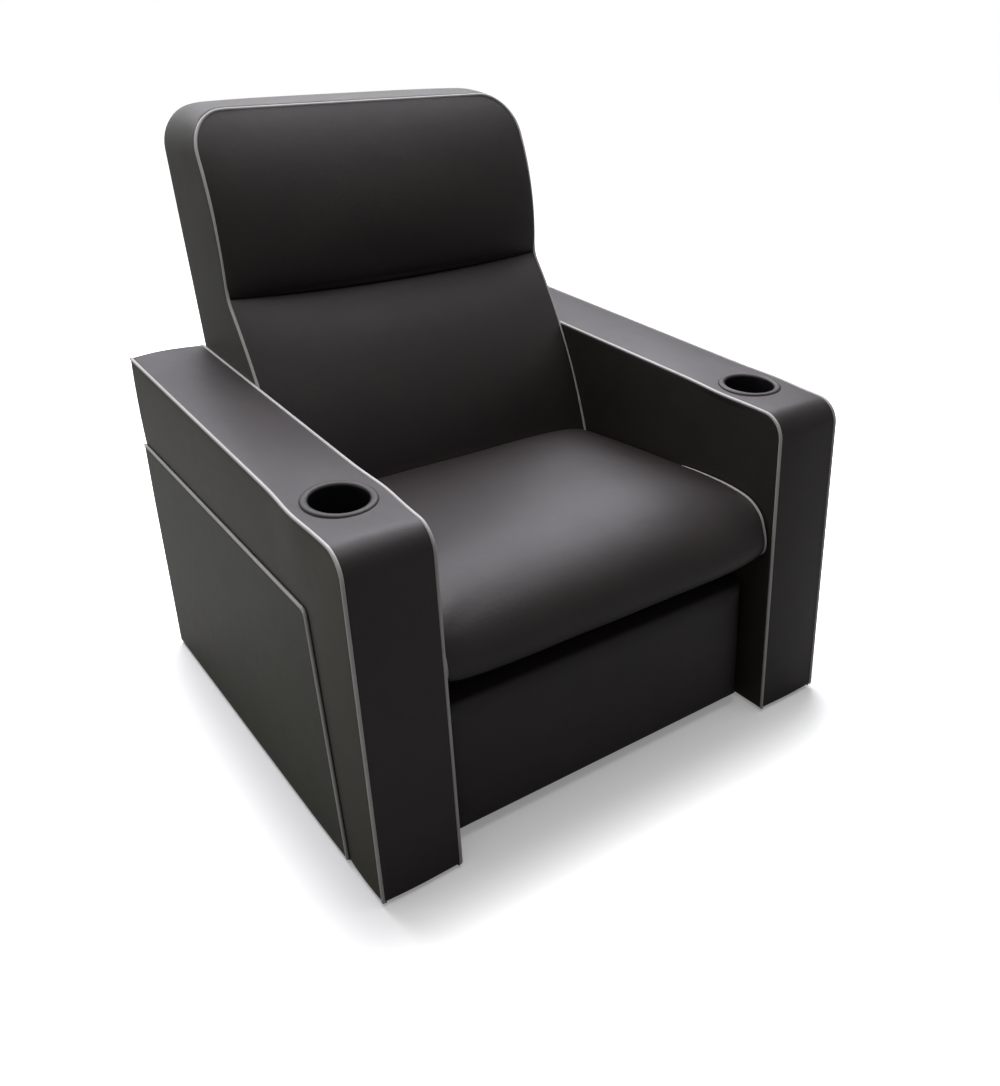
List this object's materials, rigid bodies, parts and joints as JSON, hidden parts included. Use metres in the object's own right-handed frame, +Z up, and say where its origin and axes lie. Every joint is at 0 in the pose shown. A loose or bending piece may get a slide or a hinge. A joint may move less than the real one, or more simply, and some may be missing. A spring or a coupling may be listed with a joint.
{
  "type": "cinema recliner seat",
  "caption": "Leather cinema recliner seat with two padded arms with cup holders, a gliding reclining back and a fold-out footrest on a bar linkage",
  "frame": {"origin": "on the floor, in the middle of the seat's overall width and depth", "axes": "+Z is up, the seat faces -Y, +X is to the right as seen from the front"},
  "size_m": [1.012, 0.9974, 1.095],
  "materials": {
    "dark_leather": "near-black brown leather, satin, fine grain",
    "cushion_leather": "near-black brown leather over foam, satin; as light as the foam under it",
    "plywood": "bare birch plywood",
    "black_plastic": "moulded black plastic",
    "black_steel": "black powder-coated steel",
    "webbing": "woven elastic webbing",
    "rubber_stop": "black rubber"
  },
  "bodies": {
    "base": {"arm_inner_panel_right": "plywood", "arm_inner_panel_left": "plywood", "arm_outer_panel_right": "plywood", "arm_outer_panel_left": "plywood", "arm_boards_right": "plywood", "arm_boards_left": "plywood", "arm_top_pad_right": "dark_leather", "arm_top_pad_left": "dark_leather", "arm_inner_cover_right": "dark_leather", "arm_inner_cover_left": "dark_leather", "arm_outer_cover_right": "dark_leather", "arm_outer_cover_left": "dark_leather", "arm_side_panel_right": "dark_leather", "arm_side_panel_left": "dark_leather", "arm_rear_covers": "dark_leather", "cup_holders": "black_plastic", "floor_glides": "black_plastic", "base_rails": "black_steel", "base_cross_tubes": "black_steel", "swing_stops": "rubber_stop", "rear_kick_panel": "dark_leather", "kick_panel_cleats": "plywood"},
    "front_swing": {"front_swing_links": "black_steel", "front_swing_tube": "black_steel"},
    "rear_swing": {"rear_swing_links": "black_steel", "rear_swing_tube": "black_steel", "recline_cranks": "black_steel"},
    "seat": {"seat_side_plates": "black_steel", "seat_cross_tubes": "black_steel", "seat_frame_boards": "plywood", "seat_webbing": "webbing", "seat_cushion": "cushion_leather"},
    "backrest": {"back_side_boards": "plywood", "back_rails": "plywood", "back_webbing": "webbing", "back_brackets": "black_steel", "back_boxing": "dark_leather", "lumbar_cushion": "cushion_leather", "headrest_cushion": "cushion_leather", "back_rear_cover": "dark_leather"},
    "recline_link": {"recline_links": "black_steel"},
    "drive_link": {"drive_links": "black_steel"},
    "guide_link": {"guide_links": "black_steel", "guide_link_tube": "black_steel"},
    "extension_link": {"extension_links": "black_steel"},
    "stabiliser_link": {"stabiliser_links": "black_steel"},
    "footrest": {"footrest_brackets": "black_steel", "footrest_board": "plywood", "footrest_pad": "cushion_leather"}
  },
  "joints": [
    {"name": "back_recline", "type": "hinge", "parent": "seat", "child": "backrest", "pos_m": [0, 0.20095, 0.33], "axis": [-1, 0, 0], "range_deg": [0, 32]},
    {"name": "front_swing_turn", "type": "hinge", "parent": "base", "child": "front_swing", "pos_m": [0, -0.16905, 0.1], "axis": [1, 0, 0], "range_deg": [0, 50]},
    {"name": "seat_level_turn", "type": "hinge", "parent": "front_swing", "child": "seat", "pos_m": [0, -0.10905, 0.20392], "axis": [-1, 0, 0], "range_deg": [0, 50]},
    {"name": "rear_swing_turn", "type": "hinge", "parent": "base", "child": "rear_swing", "pos_m": [0, 0.18095, 0.1], "axis": [1, 0, 0], "range_deg": [0, 50]},
    {"name": "recline_link_turn", "type": "hinge", "parent": "backrest", "child": "recline_link", "pos_m": [0, 0.27935, 0.2062], "axis": [-1, 0, 0], "range_deg": [0, 40]},
    {"name": "footrest_extend", "type": "hinge", "parent": "seat", "child": "drive_link", "pos_m": [0, -0.33405, 0.25], "axis": [-1, 0, 0], "range_deg": [0, 92]},
    {"name": "guide_link_turn", "type": "hinge", "parent": "seat", "child": "guide_link", "pos_m": [0, -0.38084, 0.31489], "axis": [-1, 0, 0], "range_deg": [0, 92]},
    {"name": "extension_link_turn", "type": "hinge", "parent": "drive_link", "child": "extension_link", "pos_m": [0, -0.24592, 0.04733], "axis": [1, 0, 0], "range_deg": [0, 92]},
    {"name": "footrest_turn", "type": "hinge", "parent": "extension_link", "child": "footrest", "pos_m": [0, -0.37403, 0.22495], "axis": [-1, 0, 0], "range_deg": [0, 92]},
    {"name": "stabiliser_link_turn", "type": "hinge", "parent": "guide_link", "child": "stabiliser_link", "pos_m": [0, -0.26082, 0.03885], "axis": [1, 0, 0], "range_deg": [0, 92]}
  ],
  "couplings": [
    {"joint": "front_swing_turn", "follows": "back_recline", "ratio": 1.5625},
    {"joint": "seat_level_turn", "follows": "back_recline", "ratio": 1.5625},
    {"joint": "rear_swing_turn", "follows": "back_recline", "ratio": 1.5625},
    {"joint": "recline_link_turn", "follows": "back_recline", "ratio": 1.22},
    {"joint": "guide_link_turn", "follows": "footrest_extend", "ratio": 1},
    {"joint": "extension_link_turn", "follows": "footrest_extend", "ratio": 1},
    {"joint": "footrest_turn", "follows": "footrest_extend", "ratio": 1},
    {"joint": "stabiliser_link_turn", "follows": "footrest_extend", "ratio": 1}
  ]
}
